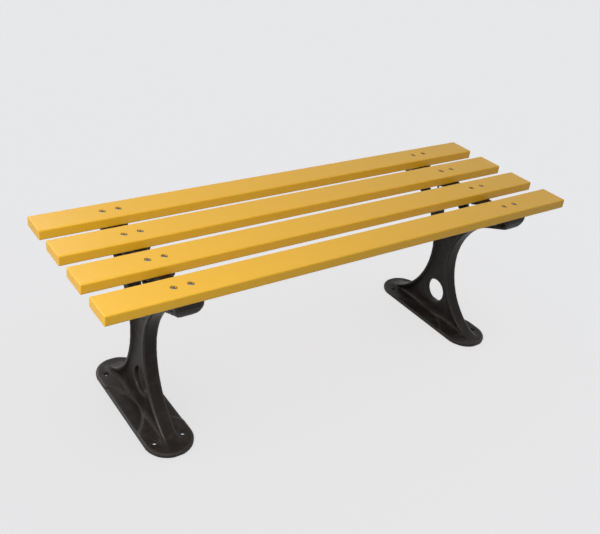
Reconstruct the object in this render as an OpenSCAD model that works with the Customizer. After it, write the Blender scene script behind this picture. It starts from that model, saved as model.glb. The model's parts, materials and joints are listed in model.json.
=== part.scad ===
// Backless four-slat street bench on two cast legs.
// X runs along the slats, Y across the seat, Z up; the origin is on the ground
// below the middle of the seat. Millimetres.

/* [Seat] */
// Length of each slat
slat_l = 1200; // [1000:10:1800]
// Width of each slat
slat_w = 70; // [60:1:100]
// Thickness of each slat
slat_t = 22; // [20:0.5:40]
// Open gap between two slats
slat_gap = 40; // [10:1:50]
// Height of the sitting surface above the ground
seat_h = 408; // [380:1:480]
// Radius of the rounded long edges of a slat
slat_edge_r = 3; // [1:0.5:6]
// Radius of the rounded ends of a slat
slat_end_r = 2; // [0.5:0.5:5]

/* [Legs] */
// Distance from the end of a slat to the middle of its leg
leg_inset = 164; // [120:1:300]
// Width of the casting's flanges, along the slats
flange_w = 34; // [30:1:50]
// Thickness of the flanges
flange_t = 8; // [5:0.5:12]
// Thickness of the web between the flanges
web_t = 14; // [8:1:18]
// Half depth of the leg at its waist
waist_half = 33; // [28:1:45]
// Height of the waist as a share of the height of the bearer
waist_share = 0.48; // [0.42:0.01:0.54]
// Radius of the curve from the waist up to the arms, as a share of that height
arm_share = 0.782; // [0.65:0.001:0.84]
// Angle turned by that curve before the arm runs out straight
arm_sweep = 69; // [60:1:75]
// Radius of the curve from the waist down to the foot, as a share of that height
foot_share = 1.02; // [0.95:0.01:1.13]
// Angle turned by that curve before the toe curve takes over
foot_sweep = 52; // [45:1:58]
// Radius of the toe curve, as a share of the waist's height
toe_share = 0.831; // [0.76:0.001:0.89]
// Length of the rounded nose at each end of the arms
nose_run = 20; // [12:1:30]

/* [Openings in the leg] */
// Radius of the round hole in the foot web
foot_hole_r = 31; // [20:1:34]
// Height of the centre of that hole
foot_hole_z = 73; // [65:1:85]
// Inner radius of the ring between the arms
ring_r = 46; // [35:1:50]
// Depth of the ring's centre below the bearer's top
ring_drop = 86; // [80:1:95]

/* [Seat bearer] */
// Thickness of the bearer and its pads
bearer_t = 12; // [10:0.5:16]
// Width of the pads under the slats, along the slats
pad_w = 60; // [56:1:80]
// Inset of a pad from the edges of its slat
pad_inset = 7; // [3:0.5:12]
// Corner radius of the pads
pad_corner_r = 6; // [2:1:10]

/* [Base plate] */
// Length of the base plate, across the seat
base_l = 360; // [340:5:420]
// Width of the base plate
base_w = 110; // [90:1:140]
// Thickness of the base plate
base_t = 9; // [7:0.5:14]
// Depth of the scoops in the long sides of the plate
scoop_d = 2.5; // [1:0.5:4]
// Half length of a scoop where it meets the plate's edge
scoop_half = 88; // [60:1:100]
// Gap between the web and the scoops
scoop_margin = 3; // [1:0.5:8]
// Anchor hole spacing along the slats
anchor_sx = 65; // [50:1:80]
// Anchor hole spacing across the seat
anchor_sy = 255; // [220:1:270]
// Anchor hole diameter
anchor_d = 12; // [10:0.5:14]

/* [Fasteners] */
// Bolt diameter
bolt_d = 6; // [5:0.5:8]
// How far a bolt reaches past its nut
bolt_tail = 4.9; // [1:0.1:20]
// Distance between the two bolts of a slat on one leg
bolt_pitch = 35; // [34:1:40]
// Bolt head diameter
head_d = 10; // [9:0.5:12]
// Bolt head height
head_h = 6; // [4:0.5:8]
// Width of the hexagon socket in the head
socket_af = 5; // [3:0.5:6]
// Washer outer diameter
washer_d = 12; // [11:0.5:16]
// Washer thickness
washer_t = 1.6; // [1:0.1:2.5]
// Width across the flats of the nut
nut_af = 10; // [9:0.5:13]
// Height of the nut's hexagon
nut_h = 5; // [4:0.5:7]
// Height of the locking collar above the hexagon
collar_h = 1.5; // [1:0.5:2]

/* [Fits] */
// How far the head lies below the top of its slat
head_sink = 1; // [0.2:0.1:2]
// Clearance of a bolt in its holes, on the diameter
bolt_clear = 1; // [0.4:0.1:2]
// Clearance of a bolt in its nut and washers, on the diameter
thread_clear = 0.1; // [0.04:0.02:0.3]
// Clearance of a washer in its counterbore, on the diameter
counterbore_clear = 2; // [0.6:0.1:3]

/* [Hidden] */
$fn = 96;

// Distance between the middles of neighbouring slats, and each slat's place.
slat_pitch = slat_w + slat_gap;
y_rear = 1.5 * slat_pitch;
y_mid = 0.5 * slat_pitch;
seat_half = y_rear + slat_w / 2;

// Leg places and levels.
leg_x = slat_l / 2 - leg_inset;
bearer_z = seat_h - slat_t;
pad_under_z = bearer_z - bearer_t;
waist_z = waist_share * bearer_z;
web_half = web_t / 2;
base_r = base_w / 2;
arm_r = arm_share * (bearer_z - waist_z);
foot_r = foot_share * waist_z;
toe_r = toe_share * waist_z;

// Centres of the three outline curves on the +Y side.
arm_c = [waist_half + arm_r, waist_z];
foot_c = [waist_half + foot_r, waist_z];
toe_c = foot_c - (foot_r - toe_r) * [cos(foot_sweep), sin(foot_sweep)];

// The toe curve runs into the plate before the plate's round end.
toe_end_y = base_l / 2 - base_r / 4;
toe_end_a = 270 - asin((toe_c[0] - toe_end_y) / toe_r);

// The nose stops a little inside the outer slat's edge.
nose_margin = 2;
nose_y = seat_half - nose_margin;
nose_wall_t = 10;
nose_wall_h = 46;

// The ring between the arms.
ring_z = bearer_z - ring_drop;
ring_out_r = ring_r + flange_t;

// The side openings end above the crotch of ring and arm, and before the bolts.
side_low_z = ring_z - 6;
side_end_y = y_rear - washer_d / 2 - 10;

// Scoop circle through the plate's edge at scoop_half and near the web.
scoop_near = web_half + scoop_margin;
scoop_reach = base_r - scoop_near;
scoop_r = (scoop_half * scoop_half + scoop_reach * scoop_reach) / (2 * scoop_reach);

// Head, washer and nut levels.
head_top_z = seat_h - head_sink;
head_z = head_top_z - head_h;
seat_of_head_z = head_z - washer_t;
nut_top_z = pad_under_z - washer_t;
bolt_l = head_z - (nut_top_z - nut_h - collar_h) + bolt_tail;
bolt_chamfer = 1;
head_chamfer = 0.8;
socket_depth = head_h / 2;
collar_step = 1.2;

// Larger than any outline, for cutting shapes.
big = 2 * seat_h;
eps = 0.5;

function polar(r, a) = [r * cos(a), r * sin(a)];

// ---- general shapes ----

// Rectangle with round corners, centred on the origin.
module rounded_rect(w, h, r) {
    square([w, h - 2 * r], center = true);
    square([w - 2 * r, h], center = true);
    for (sx = [-1, 1], sy = [-1, 1])
        translate([sx * (w / 2 - r), sy * (h / 2 - r)]) circle(r);
}

// Turns a drawing of the Y-Z plane upright and gives it a thickness along X.
module across(w) {
    rotate([90, 0, 90]) linear_extrude(height = w, center = true) children();
}

// Puts its children at both bolts of both legs for the slat at y.
module at_bolts(y) {
    for (sx = [-1, 1], sb = [-1, 1])
        translate([sx * leg_x + sb * bolt_pitch / 2, y, 0]) children();
}

// ---- slats ----

module slat(y) {
    translate([0, y, 0]) difference() {
        translate([0, 0, seat_h - slat_t / 2]) intersection() {
            across(slat_l) rounded_rect(slat_w, slat_t, slat_edge_r);
            linear_extrude(height = slat_t, center = true)
                rounded_rect(slat_l, slat_w, slat_end_r);
            rotate([90, 0, 0]) linear_extrude(height = slat_w, center = true)
                rounded_rect(slat_l, slat_t, slat_end_r);
        }
        at_bolts(0) {
            translate([0, 0, bearer_z - eps])
                cylinder(d = bolt_d + bolt_clear, h = slat_t + 2 * eps);
            translate([0, 0, seat_of_head_z])
                cylinder(d = washer_d + counterbore_clear, h = slat_t);
        }
    }
}

// ---- leg outline, drawn as [y, z] ----

// Points along an arc about c, from angle a0 to a1 in n steps.
function arc(c, r, a0, a1, n) = [for (i = [0:n]) c + polar(r, a0 + (a1 - a0) * i / n)];

// Points of a curve that leaves p along p-q and arrives at r along q-r.
function bend(p, q, r, n) =
    [for (i = [1:n]) let (t = i / n) (1 - t) * (1 - t) * p + 2 * t * (1 - t) * q + t * t * r];

// Where the straight end of the arm reaches a distance y from the middle.
function arm_line(start, y) = [y, start[1] + (y - start[0]) * tan(90 - arm_sweep)];

// One side of the leg from the toe to the top of the nose, less an inset.
function side_points(inset) =
    let (start = arm_c + polar(arm_r + inset, 180 - arm_sweep), tip = nose_y - inset)
    concat(
        [[toe_end_y, base_t / 2]],
        arc(toe_c, toe_r + inset, toe_end_a, 180 + foot_sweep, 8),
        arc(foot_c, foot_r + inset, 180 + foot_sweep * 0.95, 180, 14),
        arc(arm_c, arm_r + inset, 179, 180 - arm_sweep, 16),
        [arm_line(start, tip - nose_run)],
        bend(arm_line(start, tip - nose_run), arm_line(start, tip), [tip, bearer_z], 6)
    );

// Everything inside the leg's outer curves, less an inset.
module leg_outline(inset) {
    right = side_points(inset);
    last = len(right) - 1;
    polygon(concat(right, [for (i = [0:last]) [-right[last - i][0], right[last - i][1]]]));
}

// Opening between the ring, one arm's flange and the bearer.
module side_opening() {
    difference() {
        intersection() {
            leg_outline(flange_t);
            translate([0, side_low_z]) square([side_end_y, pad_under_z - side_low_z]);
        }
        translate([0, ring_z]) circle(ring_out_r);
    }
}

module web_drawing() {
    difference() {
        leg_outline(0);
        translate([0, foot_hole_z]) circle(foot_hole_r);
        translate([0, ring_z]) circle(ring_r);
        side_opening();
        mirror([1, 0]) side_opening();
    }
}

// ---- leg solids ----

module base_plate() {
    difference() {
        linear_extrude(height = base_t) union() {
            square([base_w, base_l - base_w], center = true);
            for (s = [-1, 1]) translate([0, s * (base_l - base_w) / 2]) circle(base_r);
        }
        for (s = [-1, 1]) translate([s * (scoop_near + scoop_r), 0, base_t - scoop_d])
            cylinder(r = scoop_r, h = base_t, $fn = 180);
    }
}

// Pad under a slat, from y0 to y1.
module pad(y0, y1) {
    translate([0, (y0 + y1) / 2, pad_under_z]) linear_extrude(height = bearer_t)
        rounded_rect(pad_w, y1 - y0, pad_corner_r);
}

// Flared end wall of an arm: as wide as the flange below and as the pad above.
module nose_wall() {
    intersection() {
        across(pad_w) intersection() {
            leg_outline(0);
            translate([nose_y - nose_wall_t, bearer_z - nose_wall_h]) square([big, big]);
        }
        rotate([90, 0, 0]) translate([0, 0, -nose_y]) linear_extrude(height = nose_run + nose_wall_t)
            polygon([
                [-flange_w / 2, bearer_z - nose_wall_h], [flange_w / 2, bearer_z - nose_wall_h],
                [pad_w / 2, pad_under_z], [pad_w / 2, bearer_z],
                [-pad_w / 2, bearer_z], [-pad_w / 2, pad_under_z]
            ]);
    }
}

// Flanges that follow the outer curves of the leg.
module side_flanges() {
    across(flange_w) difference() {
        leg_outline(0);
        leg_outline(flange_t);
    }
}

module ring() {
    translate([0, 0, ring_z]) rotate([0, 90, 0]) difference() {
        cylinder(r = ring_out_r, h = flange_w, center = true);
        cylinder(r = ring_r, h = flange_w + 2 * eps, center = true);
    }
}

module bearer() {
    translate([-flange_w / 2, -side_end_y, pad_under_z]) cube([flange_w, 2 * side_end_y, bearer_t]);
}

module leg() {
    difference() {
        union() {
            base_plate();
            across(web_t) web_drawing();
            side_flanges();
            ring();
            bearer();
            for (s = [0, 1]) mirror([0, s, 0]) {
                pad(y_mid - slat_w / 2 + pad_inset, y_mid + slat_w / 2 - pad_inset);
                pad(y_rear - slat_w / 2 + pad_inset, nose_y);
                nose_wall();
            }
        }
        for (sx = [-1, 1], sy = [-1, 1])
            translate([sx * anchor_sx / 2, sy * anchor_sy / 2, -eps])
                cylinder(d = anchor_d, h = base_t + 2 * eps);
        for (y = [-y_rear, -y_mid, y_mid, y_rear], sb = [-1, 1])
            translate([sb * bolt_pitch / 2, y, pad_under_z - eps])
                cylinder(d = bolt_d + bolt_clear, h = bearer_t + 2 * eps);
    }
}

// ---- fasteners ----

module bolt() {
    difference() {
        union() {
            translate([0, 0, head_z]) cylinder(d = head_d, h = head_h - head_chamfer);
            translate([0, 0, head_top_z - head_chamfer])
                cylinder(d1 = head_d, d2 = head_d - 2 * head_chamfer, h = head_chamfer);
            translate([0, 0, head_z - bolt_l + bolt_chamfer])
                cylinder(d = bolt_d, h = bolt_l - bolt_chamfer);
            translate([0, 0, head_z - bolt_l])
                cylinder(d1 = bolt_d - 2 * bolt_chamfer, d2 = bolt_d, h = bolt_chamfer);
        }
        translate([0, 0, head_top_z - socket_depth])
            cylinder(d = socket_af / cos(30), h = head_h, $fn = 6);
    }
}

module washer(z) {
    translate([0, 0, z]) difference() {
        cylinder(d = washer_d, h = washer_t);
        translate([0, 0, -eps]) cylinder(d = bolt_d + thread_clear, h = washer_t + 2 * eps);
    }
}

module nut() {
    translate([0, 0, nut_top_z - nut_h]) difference() {
        union() {
            cylinder(d = nut_af / cos(30), h = nut_h, $fn = 6);
            translate([0, 0, -collar_h]) cylinder(d = nut_af - collar_step, h = collar_h);
        }
        translate([0, 0, -collar_h - eps])
            cylinder(d = bolt_d + thread_clear, h = nut_h + collar_h + 2 * eps);
    }
}

// ---- sub-parts ----

module slat_part(y) { color([0.93, 0.72, 0.22]) slat(y); }
module leg_part(side) { color([0.10, 0.10, 0.11]) translate([side * leg_x, 0, 0]) leg(); }
module bolt_set(y) { color([0.62, 0.62, 0.64]) at_bolts(y) bolt(); }
module head_washer_set(y) { color([0.70, 0.70, 0.72]) at_bolts(y) washer(seat_of_head_z); }
module nut_washer_set(y) { color([0.70, 0.70, 0.72]) at_bolts(y) washer(nut_top_z); }
module nut_set(y) { color([0.58, 0.58, 0.60]) at_bolts(y) nut(); }

slat_part(y_rear);  // slat_rear
slat_part(y_mid);  // slat_mid_rear
slat_part(-y_mid);  // slat_mid_front
slat_part(-y_rear);  // slat_front
leg_part(-1);  // leg_left
leg_part(1);  // leg_right
bolt_set(y_rear);  // bolts_rear
bolt_set(y_mid);  // bolts_mid_rear
bolt_set(-y_mid);  // bolts_mid_front
bolt_set(-y_rear);  // bolts_front
head_washer_set(y_rear);  // head_washers_rear
head_washer_set(y_mid);  // head_washers_mid_rear
head_washer_set(-y_mid);  // head_washers_mid_front
head_washer_set(-y_rear);  // head_washers_front
nut_washer_set(y_rear);  // nut_washers_rear
nut_washer_set(y_mid);  // nut_washers_mid_rear
nut_washer_set(-y_mid);  // nut_washers_mid_front
nut_washer_set(-y_rear);  // nut_washers_front
nut_set(y_rear);  // nuts_rear
nut_set(y_mid);  // nuts_mid_rear
nut_set(-y_mid);  // nuts_mid_front
nut_set(-y_rear);  // nuts_front
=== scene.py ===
import json
import math

import bmesh
import bpy
import numpy as np
from bpy.props import FloatProperty, FloatVectorProperty, IntProperty, PointerProperty
from mathutils import Euler, Matrix, Vector


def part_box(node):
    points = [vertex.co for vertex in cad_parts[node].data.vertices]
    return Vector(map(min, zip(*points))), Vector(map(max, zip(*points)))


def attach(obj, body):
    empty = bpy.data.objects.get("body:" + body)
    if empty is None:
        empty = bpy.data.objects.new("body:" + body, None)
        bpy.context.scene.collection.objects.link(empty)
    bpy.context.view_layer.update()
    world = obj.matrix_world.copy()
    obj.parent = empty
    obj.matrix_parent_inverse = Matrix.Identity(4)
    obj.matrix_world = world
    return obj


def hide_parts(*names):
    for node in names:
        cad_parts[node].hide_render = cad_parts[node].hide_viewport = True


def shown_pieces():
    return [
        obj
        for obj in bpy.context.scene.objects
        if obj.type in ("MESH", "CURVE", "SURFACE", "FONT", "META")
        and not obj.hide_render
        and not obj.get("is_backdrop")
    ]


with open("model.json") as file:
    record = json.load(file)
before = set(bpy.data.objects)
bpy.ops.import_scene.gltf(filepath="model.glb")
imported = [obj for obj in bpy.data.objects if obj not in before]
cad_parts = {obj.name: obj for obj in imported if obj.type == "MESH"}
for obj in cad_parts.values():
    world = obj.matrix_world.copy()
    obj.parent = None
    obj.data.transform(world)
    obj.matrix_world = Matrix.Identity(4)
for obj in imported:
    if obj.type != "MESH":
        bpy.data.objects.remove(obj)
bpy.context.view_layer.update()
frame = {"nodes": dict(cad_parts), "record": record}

bl_info = {
    "name": "Backless slat bench",
    "version": (1, 0, 0),
    "blender": (4, 5, 0),
    "location": "View3D > Sidebar > Bench",
    "description": "Makes the slats, castings and fasteners of a four-slat bench, and its stage",
    "category": "Object",
}

ROWS = ("rear", "mid_rear", "mid_front", "front")
BODY = "root"
MM = 0.001


# ---- places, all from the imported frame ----

def middle(node):
    """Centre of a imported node's box."""
    low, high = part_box(node)
    return (low + high) / 2


def extent(node):
    """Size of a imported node's box."""
    low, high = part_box(node)
    return high - low


SLAT = extent("slat_rear")
SEAT_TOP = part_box("slat_rear")[1].z
LEG_SPACING = middle("leg_right").x - middle("leg_left").x
HEAD_DIAMETER = extent("bolts_rear").y
BOLT_PITCH = extent("bolts_rear").x - HEAD_DIAMETER - LEG_SPACING
BOLT_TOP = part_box("bolts_rear")[1].z
BOLT_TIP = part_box("bolts_rear")[0].z
WASHER = extent("head_washers_rear")
NUT_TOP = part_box("nuts_rear")[1].z
PAD_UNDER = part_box("nut_washers_rear")[1].z
ANCHORS = next(m for m in frame["record"]["mounts"] if m["name"] == "left_anchor_holes")["dims"]


# ---- settings ----

class BenchSizes(bpy.types.PropertyGroup):
    """Sizes of the pieces that their packed boxes don't give"""
    slat_edge: FloatProperty(name="Slat edge", description="Radius of a slat's long edges",
                             default=3 * MM, min=0.5 * MM, unit="LENGTH")
    slat_end: FloatProperty(name="Slat end", description="Radius of a slat's ends",
                            default=2 * MM, min=0.5 * MM, unit="LENGTH")
    recess: FloatProperty(name="Bolt recess", description="Diameter of the recess round a bolt head",
                          default=14 * MM, min=12 * MM, unit="LENGTH")
    recess_lip: FloatProperty(name="Recess lip", description="Radius of the paint at a recess's rim",
                              default=0.5 * MM, min=0.1 * MM, unit="LENGTH")
    bolt: FloatProperty(name="Bolt", description="Thread diameter of the bolts",
                        default=6 * MM, min=4 * MM, unit="LENGTH")
    bore_clear: FloatProperty(name="Bore clearance", description="Play of a bolt in slat and pad",
                              default=1 * MM, min=0.2 * MM, unit="LENGTH")
    head: FloatProperty(name="Head height", description="Height of a bolt head",
                        default=6 * MM, min=3 * MM, unit="LENGTH")
    socket: FloatProperty(name="Socket", description="Width across the flats of the hexagon socket",
                          default=5 * MM, min=3 * MM, unit="LENGTH")
    nut: FloatProperty(name="Nut", description="Width across the flats of a nut",
                       default=10 * MM, min=8 * MM, unit="LENGTH")
    nut_height: FloatProperty(name="Nut height", description="Height of a nut's hexagon",
                              default=5 * MM, min=3 * MM, unit="LENGTH")
    thread: FloatProperty(name="Thread pitch", description="Pitch of the bolt thread",
                          default=1 * MM, min=0.5 * MM, unit="LENGTH")
    cast_grid: FloatProperty(name="Cast grid", description="Spacing of the points on a casting",
                             default=2 * MM, min=1.5 * MM, unit="LENGTH")
    edge_rounds: IntProperty(name="Edge rounds", description="Rounds of smoothing on outer edges",
                             default=2, min=1, max=20)
    ridge_rounds: IntProperty(name="Ridge rounds", description="Rounds of truing along outer edges",
                              default=10, min=0, max=60)
    cove_rounds: IntProperty(name="Cove rounds", description="Rounds of filling in inner corners",
                             default=70, min=0, max=200)


class BenchColours(bpy.types.PropertyGroup):
    """Colours of the finishes"""
    paint: FloatVectorProperty(name="Slat paint", description="Colour of the painted slats",
                               default=(0.755, 0.412, 0.0165), min=0, max=1, subtype="COLOR")
    casting: FloatVectorProperty(name="Casting paint", description="Colour of the painted castings",
                                 default=(0.0118, 0.0089, 0.0076), min=0, max=1, subtype="COLOR")
    steel: FloatVectorProperty(name="Steel", description="Colour of the bolts, washers and nuts",
                               default=(0.31, 0.275, 0.235), min=0, max=1, subtype="COLOR")
    collar: FloatVectorProperty(name="Nut collar", description="Colour of the nuts' nylon collars",
                                default=(0.55, 0.56, 0.54), min=0, max=1, subtype="COLOR")
    backdrop: FloatVectorProperty(name="Backdrop", description="Colour of the floor and backdrop",
                                  default=(0.8, 0.805, 0.82), min=0, max=1, subtype="COLOR")


# ---- node sheets ----

class Term:
    """One socket of a node sheet. Arithmetic on it adds the nodes that work it out."""

    def __init__(self, sheet, socket):
        self.sheet = sheet
        self.socket = socket

    def __add__(self, other):
        return self.sheet.maths("ADD", self, other)

    def __radd__(self, other):
        return self.sheet.maths("ADD", other, self)

    def __sub__(self, other):
        return self.sheet.maths("SUBTRACT", self, other)

    def __rsub__(self, other):
        return self.sheet.maths("SUBTRACT", other, self)

    def __mul__(self, other):
        return self.sheet.maths("MULTIPLY", self, other)

    def __rmul__(self, other):
        return self.sheet.maths("MULTIPLY", other, self)


class Sheet:
    """A node tree under construction."""

    # Inputs and output of the Mix node that carry colours, and the Random Value output for numbers.
    MIX_A, MIX_B, MIX_RESULT = 6, 7, 2
    RANDOM_NUMBER = 1

    def __init__(self, tree):
        self.tree = tree

    def node(self, kind, settings=None, sockets=None, out=0):
        """Adds a node, sets it up, then fills its sockets with values or links."""
        made = self.tree.nodes.new(kind)
        for name, value in (settings or {}).items():
            setattr(made, name, value)
        for key, value in (sockets or {}).items():
            self.feed(made.inputs[key], value)
        return Term(self, made.outputs[out])

    def feed(self, entry, value):
        """Fills one socket: a list of terms makes several links."""
        if isinstance(value, Term):
            self.tree.links.new(value.socket, entry)
        elif isinstance(value, list):
            for part in value:
                self.tree.links.new(part.socket, entry)
        elif entry.type == "RGBA":
            shade = (value,) * 3 if isinstance(value, (int, float)) else tuple(value)[:3]
            entry.default_value = (*shade, 1.0)
        elif entry.type == "VECTOR" and isinstance(value, (int, float)):
            entry.default_value = (value,) * 3
        else:
            entry.default_value = value

    def maths(self, operation, first, second):
        """Works on numbers, vectors or colours, as the terms are."""
        kinds = {part.socket.type for part in (first, second) if isinstance(part, Term)}
        if "RGBA" in kinds:
            return self.mix(1.0, first, second, operation)
        if "VECTOR" in kinds:
            kind = "ShaderNodeVectorMath"
        else:
            kind = "ShaderNodeMath"
        return self.node(kind, {"operation": operation}, {0: first, 1: second})

    def mix(self, factor, first, second, blend="MIX"):
        """Blends two colours."""
        settings = {"data_type": "RGBA", "blend_type": blend}
        sockets = {0: factor, self.MIX_A: first, self.MIX_B: second}
        return self.node("ShaderNodeMix", settings, sockets, self.MIX_RESULT)

    def ramp(self, value, start, stop):
        """0 before start, 1 after stop, and a smooth step between them."""
        sockets = {"Value": value, "From Min": start, "From Max": stop}
        return self.node("ShaderNodeMapRange", {"interpolation_type": "SMOOTHSTEP"}, sockets)

    def vector(self, x, y, z):
        """A vector from three values or terms."""
        return self.node("ShaderNodeCombineXYZ", {}, {"X": x, "Y": y, "Z": z})


class Finish(Sheet):
    """The sheet of a surface finish, with the patterns that finishes share."""

    def __init__(self, name):
        self.material = bpy.data.materials.new(name)
        self.material.use_nodes = True
        super().__init__(self.material.node_tree)
        self.surface = self.tree.nodes["Principled BSDF"]
        self.place = self.node("ShaderNodeTexCoord", out="Object")

    def noise(self, scale, detail=2.0, stretch=(1.0, 1.0, 1.0), roughness=0.5):
        """Noise from 0 to 1 on the object's own place, drawn out by stretch."""
        place = self.place * self.vector(*stretch)
        sockets = {"Vector": place, "Scale": scale, "Detail": detail, "Roughness": roughness}
        return self.node("ShaderNodeTexNoise", {"noise_dimensions": "3D"}, sockets, "Fac")

    def cells(self, scale):
        """Distance to the nearest of scattered points."""
        sockets = {"Vector": self.place, "Scale": scale}
        return self.node("ShaderNodeTexVoronoi", {"feature": "F1"}, sockets, "Distance")

    def attribute(self, name):
        """A number stored on the piece's points."""
        return self.node("ShaderNodeAttribute", {"attribute_name": name}, out="Fac")

    def bump(self, height, distance, under=None):
        """Relief of a height field, laid over another relief where one is given."""
        sockets = {"Height": height, "Distance": distance, "Strength": 1.0}
        if under is not None:
            sockets["Normal"] = under
        return self.node("ShaderNodeBump", {}, sockets, "Normal")

    def set(self, **values):
        """Fills the surface's sockets, named with _ for a space."""
        for name, value in values.items():
            self.feed(self.surface.inputs[name.replace("_", " ")], value)
        return self.material


class Pattern(Sheet):
    """A Geometry Nodes tree with named inputs, run on an empty holder and made a plain mesh."""

    def __init__(self, name, inputs):
        super().__init__(bpy.data.node_groups.new(name, "GeometryNodeTree"))
        face = self.tree.interface
        face.new_socket(name="Geometry", in_out="OUTPUT", socket_type="NodeSocketGeometry")
        self.entries = {
            label: face.new_socket(name=label, in_out="INPUT", socket_type="NodeSocket" + kind)
            for label, kind in inputs.items()}
        self.entry = self.tree.nodes.new("NodeGroupInput")

    def given(self, label):
        """One of the tree's inputs."""
        return Term(self, self.entry.outputs[label])

    def pair(self, label):
        """Two points on the X axis, set apart by one of the inputs, either side of the origin."""
        apart = self.given(label)
        return self.node("GeometryNodeMeshLine", {"mode": "OFFSET"}, {
            "Count": 2, "Start Location": self.vector(apart * -0.5, 0.0, 0.0),
            "Offset": self.vector(apart, 0.0, 0.0)})

    def spread(self, spots, part, **sockets):
        """One copy of a part on each spot."""
        sockets = {"Points": spots, "Instance": part, **sockets}
        return self.node("GeometryNodeInstanceOnPoints", {}, sockets, "Instances")

    def bolt_spots(self):
        """Points of both bolts over both legs, on the X axis."""
        both = self.spread(self.pair("Leg spacing"), self.pair("Bolt pitch"))
        return self.node("GeometryNodeRealizeInstances", {}, {"Geometry": both})

    def shape(self, label):
        """The mesh of an object among the inputs."""
        return self.node("GeometryNodeObjectInfo", {"transform_space": "ORIGINAL"},
                         {"Object": self.given(label)}, "Geometry")

    def place(self, geometry, x, y, z):
        """Moves a geometry."""
        sockets = {"Geometry": geometry, "Translation": self.vector(x, y, z)}
        return self.node("GeometryNodeTransform", {}, sockets)

    def close(self, geometry):
        """Ends the tree: instances made real, then the material."""
        real = self.node("GeometryNodeRealizeInstances", {}, {"Geometry": geometry})
        done = self.node("GeometryNodeSetMaterial", {}, {
            "Geometry": real, "Material": self.given("Material")})
        if "Insert material" in self.entries:
            insert = self.node("GeometryNodeInputNamedAttribute", {"data_type": "BOOLEAN"},
                               {"Name": "insert"}, "Attribute")
            done = self.node("GeometryNodeSetMaterial", {}, {
                "Geometry": done, "Selection": insert, "Material": self.given("Insert material")})
        self.tree.links.new(done.socket, self.tree.nodes.new("NodeGroupOutput").inputs[0])
        return self

    def run(self, name, values):
        """Makes one piece from the tree."""
        holder = link(bpy.data.objects.new(name, bpy.data.meshes.new(name)))
        modifier = holder.modifiers.new("Pattern", "NODES")
        modifier.node_group = self.tree
        for label, entry in self.entries.items():
            modifier[entry.identifier] = values[label]
        return freeze(holder)


# ---- mesh helpers ----

def link(made):
    """Puts an object in the scene."""
    bpy.context.scene.collection.objects.link(made)
    return made


def freeze(made):
    """Turns an object with its modifiers into a plain mesh."""
    bpy.context.view_layer.update()
    depsgraph = bpy.context.evaluated_depsgraph_get()
    mesh = bpy.data.meshes.new_from_object(
        made.evaluated_get(depsgraph), preserve_all_data_layers=True, depsgraph=depsgraph)
    made.modifiers.clear()
    spent = made.data
    made.data = mesh
    bpy.data.meshes.remove(spent)
    mesh.name = made.name
    return made


def seat(made, slot, *nodes):
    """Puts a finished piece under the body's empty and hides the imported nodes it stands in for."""
    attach(made, BODY)
    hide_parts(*nodes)


def smooth(mesh):
    """Shades every face smooth."""
    mesh.polygons.foreach_set("use_smooth", np.ones(len(mesh.polygons), bool))


def points(mesh):
    """The places of a mesh's points, a row each."""
    co = np.empty(len(mesh.vertices) * 3)
    mesh.vertices.foreach_get("co", co)
    return co.reshape(-1, 3)


def set_points(mesh, co):
    """Moves a mesh's points to new places."""
    mesh.vertices.foreach_set("co", co.ravel())
    mesh.update()


def store(mesh, name, values):
    """Keeps a number for each point, for a finish to read."""
    layer = mesh.attributes.new(name, "FLOAT", "POINT")
    layer.data.foreach_set("value", values.astype(np.float32))


def hexagon(across):
    """Radius of a hexagon at any angle, for its width across the flats."""
    sixth = math.pi / 3
    return lambda angle: across / 2 / math.cos(angle % sixth - sixth / 2)


def within(shape, limit):
    """A shape cut off by a circle."""
    return lambda angle: min(shape(angle), limit)


# Edges of turned shapes that are sharper than this stay crisp.
TURNED_CREASE = math.radians(35)


def turned(name, rings, sides, loop=False, insert=()):
    """A turned or milled shape: each ring is a radius, or a function of the angle, and a height.

    A loop joins its last ring to its first; otherwise both ends are closed by a point on the axis.
    Faces above the rings listed in insert are marked with the attribute of that name.
    """
    build = bmesh.new()
    mark = build.faces.layers.bool.new("insert")
    angles = [2 * math.pi * step / sides for step in range(sides)]
    levels = []
    for radius, height in rings:
        reach = [radius(angle) if callable(radius) else radius for angle in angles]
        levels.append([build.verts.new((r * math.cos(a), r * math.sin(a), height))
                       for r, a in zip(reach, angles)])
    pairs = list(zip(levels, levels[1:]))
    if loop:
        pairs.append((levels[-1], levels[0]))
    for number, (lower, upper) in enumerate(pairs):
        for step in range(sides):
            after = (step + 1) % sides
            face = build.faces.new((lower[step], lower[after], upper[after], upper[step]))
            face[mark] = number in insert
    if not loop:
        for ring, turn in ((levels[0], -1), (levels[-1], 1)):
            pole = build.verts.new((0, 0, ring[0].co.z))
            for step in range(sides):
                corners = (ring[step], ring[(step + 1) % sides], pole)
                build.faces.new(corners[::turn])
    bmesh.ops.recalc_face_normals(build, faces=build.faces)
    mesh = bpy.data.meshes.new(name)
    build.to_mesh(mesh)
    build.free()
    smooth(mesh)
    mesh.set_sharp_from_angle(angle=TURNED_CREASE)
    return bpy.data.objects.new(name, mesh)


# ---- finishes ----

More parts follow.
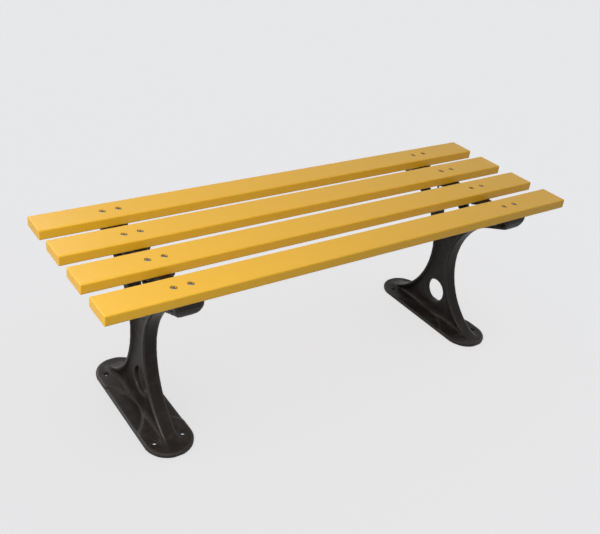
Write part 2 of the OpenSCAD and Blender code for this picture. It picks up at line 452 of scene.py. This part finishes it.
def slat_paint(colour):
    """Satin paint on planed timber: the grain shows through as faint relief, thinner at the arrises, and
    painted shade darkens the bolt recesses.
    """
    sheet = Finish("slat_paint")
    grain = sheet.noise(22.0, detail=4.0, stretch=(0.06, 1.0, 1.0), roughness=0.55)
    peel = sheet.noise(420.0)
    drift = sheet.noise(2.2, stretch=(0.5, 1.0, 1.0))
    arris = sheet.attribute("arris") * sheet.ramp(sheet.noise(60.0, detail=3.0), 0.45, 0.75)
    tone = 0.93 + 0.08 * drift + 0.06 * grain
    thin = tuple(part * share for part, share in zip(colour, (1.12, 1.16, 2.2)))
    # Painted shade: the walls of the bolt recesses are painted dark brown where shade falls.
    painted_recess_shade = (0.12, 0.06, 0.016)
    coat = sheet.mix(arris * 0.55, tuple(colour), thin)
    coat = sheet.mix(sheet.attribute("recess") * 0.8, coat, painted_recess_shade)
    relief = sheet.bump(grain, 0.4 * MM, sheet.bump(peel, 0.018 * MM))
    return sheet.set(
        Base_Color=coat * tone, Roughness=0.36 + 0.1 * sheet.noise(35.0, detail=3.0) - 0.05 * arris,
        Normal=relief, Specular_IOR_Level=0.38, Coat_Weight=0.02, Coat_Roughness=0.3)


def casting_paint(colour):
    """Black satin paint on a cast skin: pitted, brown where it is thin, and lighter on its outer edges
    as worn paint and a painted highlight.
    """
    sheet = Finish("casting_paint")
    skin = sheet.noise(260.0, detail=3.0, roughness=0.6)
    pits = sheet.ramp(sheet.cells(170.0), 0.05, 0.22)
    swell = sheet.noise(24.0)
    edge = sheet.attribute("edge")
    thin = sheet.ramp(sheet.noise(48.0, detail=5.0, roughness=0.65), 0.47, 0.68)
    brown = (0.036, 0.027, 0.0225)
    worn_paint_and_highlight = (0.055, 0.047, 0.042)
    tone = sheet.mix(thin * 0.5, tuple(colour), brown)
    # Worn paint and painted highlight: every outer edge is lightened.
    tone = sheet.mix(edge * 0.6, tone, worn_paint_and_highlight)
    cloud = 0.75 + 0.5 * sheet.noise(9.0, detail=4.0)
    relief = sheet.bump(skin + pits * 0.5, 0.10 * MM, sheet.bump(swell, 0.5 * MM))
    return sheet.set(
        Base_Color=tone * cloud, Roughness=0.36 + 0.16 * sheet.noise(14.0, detail=3.0) - 0.1 * edge,
        Normal=relief, Specular_IOR_Level=0.15, Coat_Weight=0.03, Coat_Roughness=0.25)


def machined_steel(colour, name, roughness, scratch):
    """Stainless steel with fine tool marks and a little dull staining."""
    sheet = Finish(name)
    marks = sheet.noise(900.0, stretch=(1.0, 1.0, 6.0))
    stain = sheet.ramp(sheet.noise(180.0, detail=4.0), 0.4, 0.75)
    tone = sheet.mix(stain * 0.45, tuple(colour), tuple(0.55 * part for part in colour))
    return sheet.set(
        Base_Color=tone, Metallic=1.0, Roughness=roughness + 0.14 * stain + 0.06 * marks,
        Normal=sheet.bump(marks, scratch))


def nylon(colour):
    """The locking collar of a nut."""
    sheet = Finish("collar_nylon")
    tone = sheet.mix(sheet.noise(300.0), tuple(colour), tuple(0.85 * part for part in colour))
    return sheet.set(Base_Color=tone, Roughness=0.45 + 0.1 * sheet.noise(500.0),
                     Normal=sheet.bump(sheet.noise(800.0), 0.02 * MM))


# ---- slats ----

EDGE_FACETS = 6
RIM_FACETS = 5
BOLT_CUT_SIDES = 64
# Edges of a slat that are sharper than this stay crisp.
SLAT_CREASE = math.radians(40)
# Points this little outside a recess's wall still count as in the recess.
MARK_SLACK = 0.05 * MM


def board_shape(sizes):
    """A board with rounded edges and ends, centred on the origin."""
    build = bmesh.new()
    bmesh.ops.create_cube(build, size=1.0, matrix=Matrix.Diagonal((*SLAT, 1.0)))
    weight = build.edges.layers.float.new("bevel_weight_edge")
    for edge in build.edges:
        along = abs((edge.verts[0].co - edge.verts[1].co).normalized().x)
        edge[weight] = 1.0 if along > 0.5 else sizes.slat_end / sizes.slat_edge
    mesh = bpy.data.meshes.new("board_shape")
    build.to_mesh(mesh)
    build.free()
    made = link(bpy.data.objects.new("board_shape", mesh))
    bevel = made.modifiers.new("Rounding", "BEVEL")
    bevel.limit_method = "WEIGHT"
    bevel.width = sizes.slat_edge
    bevel.segments = EDGE_FACETS
    freeze(made)
    bpy.context.scene.collection.objects.unlink(made)
    return made


def bore_radius(sizes):
    """Radius of a bolt's bore in slat and pad."""
    return (sizes.bolt + sizes.bore_clear) / 2


def bolt_cut_shape(sizes, depth):
    """What is cut away for a bolt: a bore, and a recess whose rim is softened by the paint.

    Its origin is in the slat's top face.
    """
    bore = bore_radius(sizes)
    recess = sizes.recess / 2
    lip = sizes.recess_lip
    arc = [math.radians(90 * step / RIM_FACETS) for step in range(RIM_FACETS + 1)]
    rim = [(recess + lip * (1 - math.cos(a)), lip * (math.sin(a) - 1)) for a in arc]
    rings = [(bore, -2 * SLAT.z), (bore, -depth), (recess, -depth), *rim, (recess + lip, SLAT.z)]
    return turned("bolt_cut_shape", rings, BOLT_CUT_SIDES)


def slat_tree():
    """A board cut at both bolts over both legs."""
    tree = Pattern("slat_tree", {
        "Board": "Object", "Bolt cut": "Object", "Thickness": "Float", "Row": "Float",
        "Middle height": "Float", "Leg spacing": "Float", "Bolt pitch": "Float", "Material": "Material"})
    raised = tree.place(tree.shape("Bolt cut"), 0.0, 0.0, tree.given("Thickness") * 0.5)
    spread = tree.spread(tree.bolt_spots(), raised)
    cutters = tree.node("GeometryNodeRealizeInstances", {}, {"Geometry": spread})
    cut = tree.node("GeometryNodeMeshBoolean", {"operation": "DIFFERENCE"}, {
        "Mesh 1": tree.shape("Board"), "Mesh 2": cutters}, "Mesh")
    return tree.close(tree.place(cut, 0.0, tree.given("Row"), tree.given("Middle height")))


def mark_slat(mesh, low, high, sizes):
    """Stores how far each point of a slat lies in its rounded edges, and in its bolt recesses."""
    co = points(mesh)
    inside = np.minimum(co - np.array(low), np.array(high) - co)
    second_nearest = np.sort(inside, axis=1)[:, 1]
    store(mesh, "arris", np.clip(1 - second_nearest / sizes.slat_edge, 0, 1))
    from_bolt = abs(abs(abs(co[:, 0]) - LEG_SPACING / 2) - BOLT_PITCH / 2)
    from_axis = np.hypot(from_bolt, co[:, 1] - (low.y + high.y) / 2)
    in_recess = from_axis < sizes.recess / 2 + MARK_SLACK
    below_lip = co[:, 2] < high.z - 1.5 * sizes.recess_lip
    # The recess mask marks where the slat paint puts its painted shade.
    store(mesh, "recess", in_recess & below_lip)


class BENCH_OT_slats(bpy.types.Operator):
    """Make the four painted slats"""
    bl_idname = "bench.slats"
    bl_label = "Slats"

    def execute(self, context):
        sizes = context.scene.bench_sizes
        tree = slat_tree()
        paint = slat_paint(context.scene.bench_colours.paint)
        board = board_shape(sizes)
        bolt_cut = bolt_cut_shape(sizes, SEAT_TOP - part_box("head_washers_rear")[0].z)
        for row in ROWS:
            node = "slat_" + row
            made = tree.run(node + "_board", {
                "Board": board, "Bolt cut": bolt_cut, "Thickness": SLAT.z, "Row": middle(node).y,
                "Middle height": middle(node).z, "Leg spacing": LEG_SPACING, "Bolt pitch": BOLT_PITCH,
                "Material": paint})
            smooth(made.data)
            made.data.set_sharp_from_angle(angle=SLAT_CREASE)
            made.modifiers.new("Flats", "WEIGHTED_NORMAL").keep_sharp = True
            freeze(made)
            mark_slat(made.data, *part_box(node), sizes)
            seat(made, "slat", node)
        return {"FINISHED"}


# ---- castings ----

# Thickness of the plate that a leg stands on.
PLATE = 9 * MM
# Each round of smoothing takes a point this share of the way to the middle of its neighbours.
PULL = 0.5
# An outer edge is trued if it stands out this far, an inner corner is coved if it falls in this far,
# and the paint is lightened in full, as worn paint and a painted highlight, where the skin stands
# out by the third reach.
LEAST_RIDGE = 0.04 * MM
LEAST_FILL = 0.012 * MM
FULL_EDGE = 0.16 * MM
# Coves start just under the plate's top. Skin this near the ground or the pads' tops is made flat.
COVE_FLOOR = 8.5 * MM
FLAT_REACH = 1.2 * MM
# A plug is this much wider than its bore. A drill starts this far below it and breaks its upper rim.
PLUG_MARGIN = 0.4 * MM
PLUG_SIDES = 24
DRILL_REACH = 1 * MM
DRILL_SIDES = 48
BORE_CHAMFER = 0.5 * MM
# Points nearer each other than this are joined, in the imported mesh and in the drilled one.
PACKED_WELD = 0.01 * MM
DRILLED_WELD = 0.02 * MM


def plug_shape(radius, low, high):
    """A plain plug for a bore."""
    return turned("plug", [(radius, low), (radius, high)], PLUG_SIDES).data


def drill_shape(radius, low, high, chamfer):
    """A drill that breaks the top edge of its bore, turned so that its corners miss the cast grid."""
    rim = radius + 2 * chamfer
    above = high + 7 * chamfer
    rings = [(radius, low), (radius, high - chamfer), (rim, high + chamfer), (rim, above)]
    shape = turned("drill", rings, DRILL_SIDES).data
    shape.transform(Matrix.Rotation(math.pi / DRILL_SIDES, 4, "Z"))
    return shape


def leg_bores(sizes):
    """Every bore of the left leg: place, radius, lower and upper face."""
    centre = middle("leg_left")
    half_x = ANCHORS["spacing_x_mm"] * MM / 2
    half_y = ANCHORS["spacing_y_mm"] * MM / 2
    anchor = ANCHORS["hole_r_mm"] * MM
    anchors = [(centre.x + sx * half_x, sy * half_y, anchor, 0.0, PLATE)
               for sx in (-1, 1) for sy in (-1, 1)]
    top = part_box("leg_left")[1].z
    bore = bore_radius(sizes)
    bolts = [(centre.x + side * BOLT_PITCH / 2, middle("slat_" + row).y, bore, PAD_UNDER, top)
             for side in (-1, 1) for row in ROWS]
    return anchors + bolts


def gather(name, shapes):
    """One mesh from several placed shapes, which it uses up."""
    build = bmesh.new()
    for mesh, place in shapes:
        mesh.transform(Matrix.Translation(place))
        build.from_mesh(mesh)
        bpy.data.meshes.remove(mesh)
    made = bpy.data.meshes.new(name)
    build.to_mesh(made)
    build.free()
    return made


def weld(mesh, reach):
    """Joins points that lie closer together than reach."""
    build = bmesh.new()
    build.from_mesh(mesh)
    bmesh.ops.remove_doubles(build, verts=build.verts, dist=reach)
    build.to_mesh(mesh)
    build.free()


def smoothed(mesh, sizes):
    """Rounds a cast skin: all edges a little, each edge trued along its run, then inner corners coved.

    Gives how far each point still falls in below its neighbours, less than 0 where it stands out.
    """
    co = points(mesh)
    count = len(co)
    ends = np.empty(len(mesh.edges) * 2, np.int32)
    mesh.edges.foreach_get("vertices", ends)
    first, second = ends.reshape(-1, 2).T
    normals = np.empty(count * 3)

    def pull(one, two):
        """Each point's way to the middle of its neighbours, over the edges from one to two.

        A point with fewer than two such neighbours stays.
        """
        beside = np.bincount(one, minlength=count) + np.bincount(two, minlength=count)
        total = [np.bincount(one, co[two, k], count) + np.bincount(two, co[one, k], count)
                 for k in range(3)]
        step = np.stack(total, 1) / np.maximum(beside, 1)[:, None] - co
        step[beside < 2] = 0
        return step

    def outward(step):
        """How far a step takes each point along its normal."""
        set_points(mesh, co)
        mesh.vertex_normals.foreach_get("vector", normals)
        return (step * normals.reshape(-1, 3)).sum(1)

    for _ in range(sizes.edge_rounds):
        co += PULL * pull(first, second)
    ridge = outward(pull(first, second)) < -LEAST_RIDGE
    along = ridge[first] & ridge[second]
    for _ in range(sizes.ridge_rounds):
        co += PULL * pull(first[along], second[along])
    co += PULL * pull(first, second)
    for _ in range(sizes.cove_rounds):
        step = pull(first, second)
        step[(outward(step) < LEAST_FILL) | (co[:, 2] < COVE_FLOOR)] = 0
        co += PULL * step
    return outward(pull(first, second))


def leg_casting(sizes):
    """The left leg as cast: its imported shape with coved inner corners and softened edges."""
    low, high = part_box("leg_left")
    bores = leg_bores(sizes)
    body = frame["nodes"]["leg_left"].data.copy()
    weld(body, PACKED_WELD)
    plugs = [(plug_shape(radius + PLUG_MARGIN, bottom, top), (x, y, 0))
             for x, y, radius, bottom, top in bores]
    made = link(bpy.data.objects.new("leg_left_casting", gather("leg", [(body, (0, 0, 0)), *plugs])))
    remesh = made.modifiers.new("Skin", "REMESH")
    remesh.mode = "VOXEL"
    remesh.voxel_size = sizes.cast_grid
    freeze(made)
    rise = smoothed(made.data, sizes)
    keep_inside(made.data, low, high)
    # How far the skin stands out: the casting paint lightens it there as worn paint and a painted
    # highlight.
    store(made.data, "edge", np.clip(-rise / FULL_EDGE, 0, 1))
    drills = [(drill_shape(radius, bottom - DRILL_REACH, top, BORE_CHAMFER), (x, y, 0))
              for x, y, radius, bottom, top in bores]
    drill = link(bpy.data.objects.new("drills", gather("drills", drills)))
    cut = made.modifiers.new("Bores", "BOOLEAN")
    cut.operation = "DIFFERENCE"
    cut.solver = "MANIFOLD"
    cut.object = drill
    freeze(made)
    bpy.data.objects.remove(drill)
    weld(made.data, DRILLED_WELD)
    smooth(made.data)
    return made


def keep_inside(mesh, low, high):
    """Keeps a smoothed skin on its ground and pad faces and inside its box."""
    co = points(mesh)
    co[co[:, 2] < low.z + FLAT_REACH, 2] = low.z
    co[co[:, 2] > high.z - FLAT_REACH, 2] = high.z
    set_points(mesh, np.clip(co, np.array(low), np.array(high)))


class BENCH_OT_castings(bpy.types.Operator):
    """Make the two cast legs"""
    bl_idname = "bench.castings"
    bl_label = "Castings"

    def execute(self, context):
        left = leg_casting(context.scene.bench_sizes)
        left.data.materials.clear()
        left.data.materials.append(casting_paint(context.scene.bench_colours.casting))
        right = link(bpy.data.objects.new("leg_right_casting", left.data.copy()))
        right.data.transform(Matrix.Translation((LEG_SPACING, 0, 0)))
        seat(left, "casting", "leg_left")
        seat(right, "casting", "leg_right")
        return {"FINISHED"}


# ---- fasteners ----

FASTENER_SIDES = 60
WASHER_SIDES = 48
# Play between a bolt and its washers and nut.
PLAY = 0.05 * MM
# Seed that turns the rear slat's fasteners. Each next slat has the next seed.
FIRST_SEED = 11


def bolt_shape(sizes):
    """A socket bolt: knurled head, hexagon socket, plain shank and a cut thread.

    Its origin is under the head.
    """
    radius = sizes.bolt / 2
    head = HEAD_DIAMETER / 2
    depth = 0.6 * sizes.thread
    ridge = 0.18 * MM
    lead = 0.3 * MM
    shoulder = 0.25 * MM
    turns = 13
    rings_a_turn = 6
    rings_in_lead = 4
    rings_in_thread = turns * rings_a_turn

    def thread(height, fade):
        """A ring of the helical thread at a height, cut to its full depth where fade is 1."""
        def reach(angle):
            turn = (height / sizes.thread - angle / (2 * math.pi)) % 1
            return radius - fade * depth * (1 - abs(2 * turn - 1))
        return reach

    def knurled(angle):
        """Radius of the fine ridges round the head, one to every second side."""
        return head - (ridge if round(angle / (2 * math.pi) * FASTENER_SIDES) % 2 else 0)

    tip = -(BOLT_TOP - sizes.head - BOLT_TIP)
    shank = [(radius - depth, tip), (thread(tip + lead, 0.9), tip + lead)]
    for ring in range(rings_in_lead, rings_in_thread):
        height = tip + ring * sizes.thread / rings_a_turn
        fade = min(1.0, (rings_in_thread - ring) / rings_a_turn)
        shank.append((thread(height, fade), height))
    shank += [(radius, tip + turns * sizes.thread), (radius, -lead), (radius + lead, 0.0)]
    top = sizes.head
    cap = [(head - shoulder, 0.0), (head, shoulder), (head, 0.16 * top), (knurled, 0.2 * top),
           (knurled, 0.8 * top), (head, 0.84 * top), (head, top - 3 * shoulder),
           (head - shoulder, top - shoulder), (head - 2.5 * shoulder, top)]
    socket = hexagon(sizes.socket)
    drive = [(0.62 * sizes.socket, top), (socket, top - 0.25 * MM), (socket, 0.5 * top),
             (hexagon(0.5 * sizes.socket), 0.42 * top)]
    return turned("bolt_shape", [*shank, *cap, *drive], FASTENER_SIDES)


def washer_shape(sizes):
    """A stamped washer with one rounded and one sharp rim. Its origin is in its lower face."""
    bore = sizes.bolt / 2 + PLAY
    reach = WASHER.y / 2
    thick = WASHER.z
    chamfer = 0.1 * MM
    burr = 0.08 * MM
    soft = 0.25 * MM
    rings = [(bore, chamfer), (bore + chamfer, 0.0), (reach - burr, 0.0), (reach, burr),
             (reach, thick - soft), (reach - 0.3 * soft, thick - 0.3 * soft), (reach - soft, thick),
             (bore + soft, thick), (bore, thick - soft)]
    return turned("washer_shape", rings, WASHER_SIDES, loop=True)


def nut_shape(sizes):
    """A locking nut with a nylon insert. Its origin is in its upper face, against the washer."""
    bore = sizes.bolt / 2 + PLAY
    flats = hexagon(sizes.nut)
    corner = sizes.nut / math.sqrt(3)
    face = 0.48 * sizes.nut
    clipped = within(flats, (face + corner) / 2)
    rim = 0.3 * MM
    low = -sizes.nut_height
    body = [(bore, -0.5 * MM), (bore + 0.4 * MM, 0.0), (face, 0.0), (clipped, -rim),
            (flats, -2.2 * rim), (flats, low + 2.2 * rim), (clipped, low + rim), (face, low)]
    collar = 0.44 * sizes.nut
    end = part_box("nuts_rear")[0].z - NUT_TOP
    lip = 0.15 * MM
    roll = 0.6 * MM
    rolled = [(collar, low), (collar, end + roll), (collar - 0.25 * MM, end + lip),
              (collar - roll, end), (collar - 1.0 * MM, end + lip)]
    insert = [(bore + 0.5 * MM, end + 0.2 * MM), (bore, end + roll)]
    first = len(body) + len(rolled) - 1
    return turned("nut_shape", [*body, *rolled, *insert], FASTENER_SIDES, loop=True,
                  insert=(first, first + 1))


def fastener_tree(name, with_insert=False):
    """The same part at both bolts of both legs, each turned its own way."""
    inputs = {"Part": "Object", "Row": "Float", "Height": "Float", "Leg spacing": "Float",
              "Bolt pitch": "Float", "Seed": "Int", "Material": "Material"}
    if with_insert:
        inputs["Insert material"] = "Material"
    tree = Pattern(name, inputs)
    limits = {"Min": 0.0, "Max": math.pi, "Seed": tree.given("Seed")}
    turn = tree.node("FunctionNodeRandomValue", {"data_type": "FLOAT"}, limits, tree.RANDOM_NUMBER)
    spread = tree.spread(tree.bolt_spots(), tree.shape("Part"), Rotation=tree.vector(0.0, 0.0, turn))
    return tree.close(tree.place(spread, 0.0, tree.given("Row"), tree.given("Height")))


def make_rows(tree, part, group, height, material, slot, insert=None):
    """Runs a fastener tree for every slat."""
    for number, row in enumerate(ROWS):
        node = group + "_" + row
        values = {"Part": part, "Row": middle(node).y, "Height": height, "Leg spacing": LEG_SPACING,
                  "Bolt pitch": BOLT_PITCH, "Seed": FIRST_SEED + number, "Material": material,
                  "Insert material": insert}
        seat(tree.run(node + "_set", values), slot, node)


class BENCH_OT_bolts(bpy.types.Operator):
    """Make the sixteen socket bolts"""
    bl_idname = "bench.bolts"
    bl_label = "Bolts"

    def execute(self, context):
        sizes = context.scene.bench_sizes
        colour = context.scene.bench_colours.steel
        steel = machined_steel(colour, "bolt_steel", roughness=0.28, scratch=0.012 * MM)
        tree = fastener_tree("bolt_tree")
        make_rows(tree, bolt_shape(sizes), "bolts", BOLT_TOP - sizes.head, steel, "bolt_steel")
        return {"FINISHED"}


class BENCH_OT_washers(bpy.types.Operator):
    """Make the washers under the bolt heads and the nuts"""
    bl_idname = "bench.washers"
    bl_label = "Washers"

    def execute(self, context):
        tree = fastener_tree("washer_tree")
        part = washer_shape(context.scene.bench_sizes)
        colour = context.scene.bench_colours.steel
        steel = machined_steel(colour, "washer_steel", roughness=0.34, scratch=0.006 * MM)
        for group in ("head_washers", "nut_washers"):
            make_rows(tree, part, group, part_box(group + "_rear")[0].z, steel, "washer_steel")
        return {"FINISHED"}


class BENCH_OT_nuts(bpy.types.Operator):
    """Make the sixteen locking nuts"""
    bl_idname = "bench.nuts"
    bl_label = "Nuts"

    def execute(self, context):
        colours = context.scene.bench_colours
        steel = machined_steel(colours.steel, "nut_steel", roughness=0.3, scratch=0.01 * MM)
        tree = fastener_tree("nut_tree", with_insert=True)
        part = nut_shape(context.scene.bench_sizes)
        make_rows(tree, part, "nuts", NUT_TOP, steel, "nut_steel", nylon(colours.collar))
        return {"FINISHED"}


# ---- stage ----

# The floor lies this far below the feet, so that no two faces coincide.
FLOOR_GAP = 0.2 * MM
# The floor is flat almost to where the dome's wall starts, at half its radius. The wall's rings are
# given in degrees up from the bottom of the dome.
DOME_RADIUS = 14.0
DOME_SQUASH = 0.8
DOME_SIDES = 96
FLAT_SHARE = 0.49
WALL_RINGS = range(30, 178, 4)
PAPER_GLOW = 0.8
WORLD_GLOW = 0.2
CAMERA_PLACE = (-1.0188, -1.2555, 1.1817)
CAMERA_HEADING = math.radians(37.80)
CAMERA_PITCH = math.radians(30.07)
CAMERA_ROLL = math.radians(6.97)
# Sensor width and focal length in millimetres, and how far the camera sees in metres.
SENSOR = 36.0
FOCAL_LENGTH = 47.58
CLIP_END = 100.0
# Square soft lights: where each stands and aims, the length of its side in metres, and its watts.
SOFTBOXES = {
    "key": {"place": (-1.38, -0.94, 1.85), "aim": (-0.4, -0.05, 0.35), "size": 1.2, "power": 39.5},
    "back": {"place": (-0.7, 1.9, 1.75), "aim": (-0.35, 0.0, 0.4), "size": 1.4, "power": 21.0},
    "end": {"place": (-2.2, -0.15, 0.62), "aim": (-0.6, 0.0, 0.39), "size": 0.7, "power": 11.0},
    "far_end": {"place": (2.2, 0.1, 0.6), "aim": (0.5, 0.0, 0.3), "size": 0.8, "power": 3.5}}


def backdrop_finish(colour):
    """Pale matt paper that glows a little, so that it stays even right out to the edges.

    It is clear from behind, so that the underside of the bench can be seen through the floor.
    """
    sheet = Finish("backdrop_paper")
    sheet.set(Base_Color=tuple(colour), Roughness=1.0, Specular_IOR_Level=0.0,
              Emission_Color=tuple(colour), Emission_Strength=PAPER_GLOW)
    behind = sheet.node("ShaderNodeNewGeometry", out="Backfacing")
    paper = Term(sheet, sheet.surface.outputs["BSDF"])
    clear = sheet.node("ShaderNodeBsdfTransparent")
    seen = sheet.node("ShaderNodeMixShader", {}, {0: behind, 1: paper, 2: clear})
    sheet.tree.links.new(seen.socket, sheet.tree.nodes["Material Output"].inputs["Surface"])
    return sheet.material


def add_backdrop(colour):
    """A floor that turns up into a dome."""
    arc = [math.radians(step) for step in WALL_RINGS]
    wall = [(DOME_RADIUS * math.sin(a), DOME_RADIUS * (1 - math.cos(a)) * DOME_SQUASH) for a in arc]
    foot = wall[0][1]
    rings = [(FLAT_SHARE * DOME_RADIUS, -FLOOR_GAP)]
    rings += [(reach, height - foot - FLOOR_GAP) for reach, height in wall]
    made = link(turned("backdrop", rings, DOME_SIDES))
    made.data.flip_normals()
    made.data.materials.append(backdrop_finish(colour))
    made.visible_diffuse = False
    made.visible_shadow = False
    made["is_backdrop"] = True


def add_softbox(name, receivers, place, aim, size, power):
    """A square soft light that falls only on the pieces given."""
    light = bpy.data.lights.new(name, "AREA")
    light.shape = "SQUARE"
    light.size = size
    light.energy = power
    made = link(bpy.data.objects.new(name, light))
    made.location = place
    made.rotation_euler = (Vector(aim) - Vector(place)).to_track_quat("-Z", "Y").to_euler()
    lit = bpy.data.collections.new(name + "_lit")
    for piece in receivers:
        lit.objects.link(piece)
    made.light_linking.receiver_collection = lit


def add_camera():
    """A camera at the front left, looking down along the seat."""
    lens = bpy.data.cameras.new("camera")
    lens.sensor_width = SENSOR
    lens.lens = FOCAL_LENGTH
    lens.clip_end = CLIP_END
    made = link(bpy.data.objects.new("camera", lens))
    level = Euler((math.pi / 2 - CAMERA_PITCH, 0.0, -CAMERA_HEADING)).to_matrix()
    made.rotation_euler = (level @ Matrix.Rotation(CAMERA_ROLL, 3, "Z")).to_euler()
    made.location = CAMERA_PLACE
    bpy.context.scene.camera = made


def add_world():
    """A faint white light from all round."""
    world = bpy.data.worlds.new("studio")
    world.use_nodes = True
    sky = world.node_tree.nodes["Background"]
    sky.inputs["Color"].default_value = (1.0, 1.0, 1.0, 1.0)
    sky.inputs["Strength"].default_value = WORLD_GLOW
    bpy.context.scene.world = world


class BENCH_OT_stage(bpy.types.Operator):
    """Make the camera, the pale floor and the soft lights"""
    bl_idname = "bench.stage"
    bl_label = "Stage"

    def execute(self, context):
        add_camera()
        add_backdrop(context.scene.bench_colours.backdrop)
        add_world()
        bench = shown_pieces()
        left = [piece for piece in bench if piece.name.startswith(("slat_", "leg_left"))]
        for name, settings in SOFTBOXES.items():
            add_softbox(name, left if name == "end" else bench, **settings)
        context.scene.view_settings.view_transform = "Standard"
        return {"FINISHED"}


class BENCH_PT_panel(bpy.types.Panel):
    """The sizes, the colours and a button for each operator"""
    bl_label = "Backless bench"
    bl_idname = "BENCH_PT_panel"
    bl_space_type = "VIEW_3D"
    bl_region_type = "UI"
    bl_category = "Bench"

    def draw(self, context):
        for group in (context.scene.bench_sizes, context.scene.bench_colours):
            box = self.layout.box()
            for name in group.bl_rna.properties.keys():
                if name not in ("rna_type", "name"):
                    box.prop(group, name)
        for operator in OPERATORS:
            self.layout.operator(operator.bl_idname)


OPERATORS = (BENCH_OT_slats, BENCH_OT_castings, BENCH_OT_bolts, BENCH_OT_washers, BENCH_OT_nuts,
             BENCH_OT_stage)
CLASSES = (BenchSizes, BenchColours, *OPERATORS, BENCH_PT_panel)


def register():
    """Makes the classes and their settings known."""
    for kind in CLASSES:
        bpy.utils.register_class(kind)
    bpy.types.Scene.bench_sizes = PointerProperty(type=BenchSizes)
    bpy.types.Scene.bench_colours = PointerProperty(type=BenchColours)


def unregister():
    """Takes the settings and classes away again."""
    del bpy.types.Scene.bench_colours
    del bpy.types.Scene.bench_sizes
    for kind in reversed(CLASSES):
        bpy.utils.unregister_class(kind)


def main():
    """Builds every piece and the stage."""
    register()
    bpy.ops.bench.slats()
    bpy.ops.bench.castings()
    bpy.ops.bench.bolts()
    bpy.ops.bench.washers()
    bpy.ops.bench.nuts()
    bpy.ops.bench.stage()


if __name__ == "__main__":
    main()
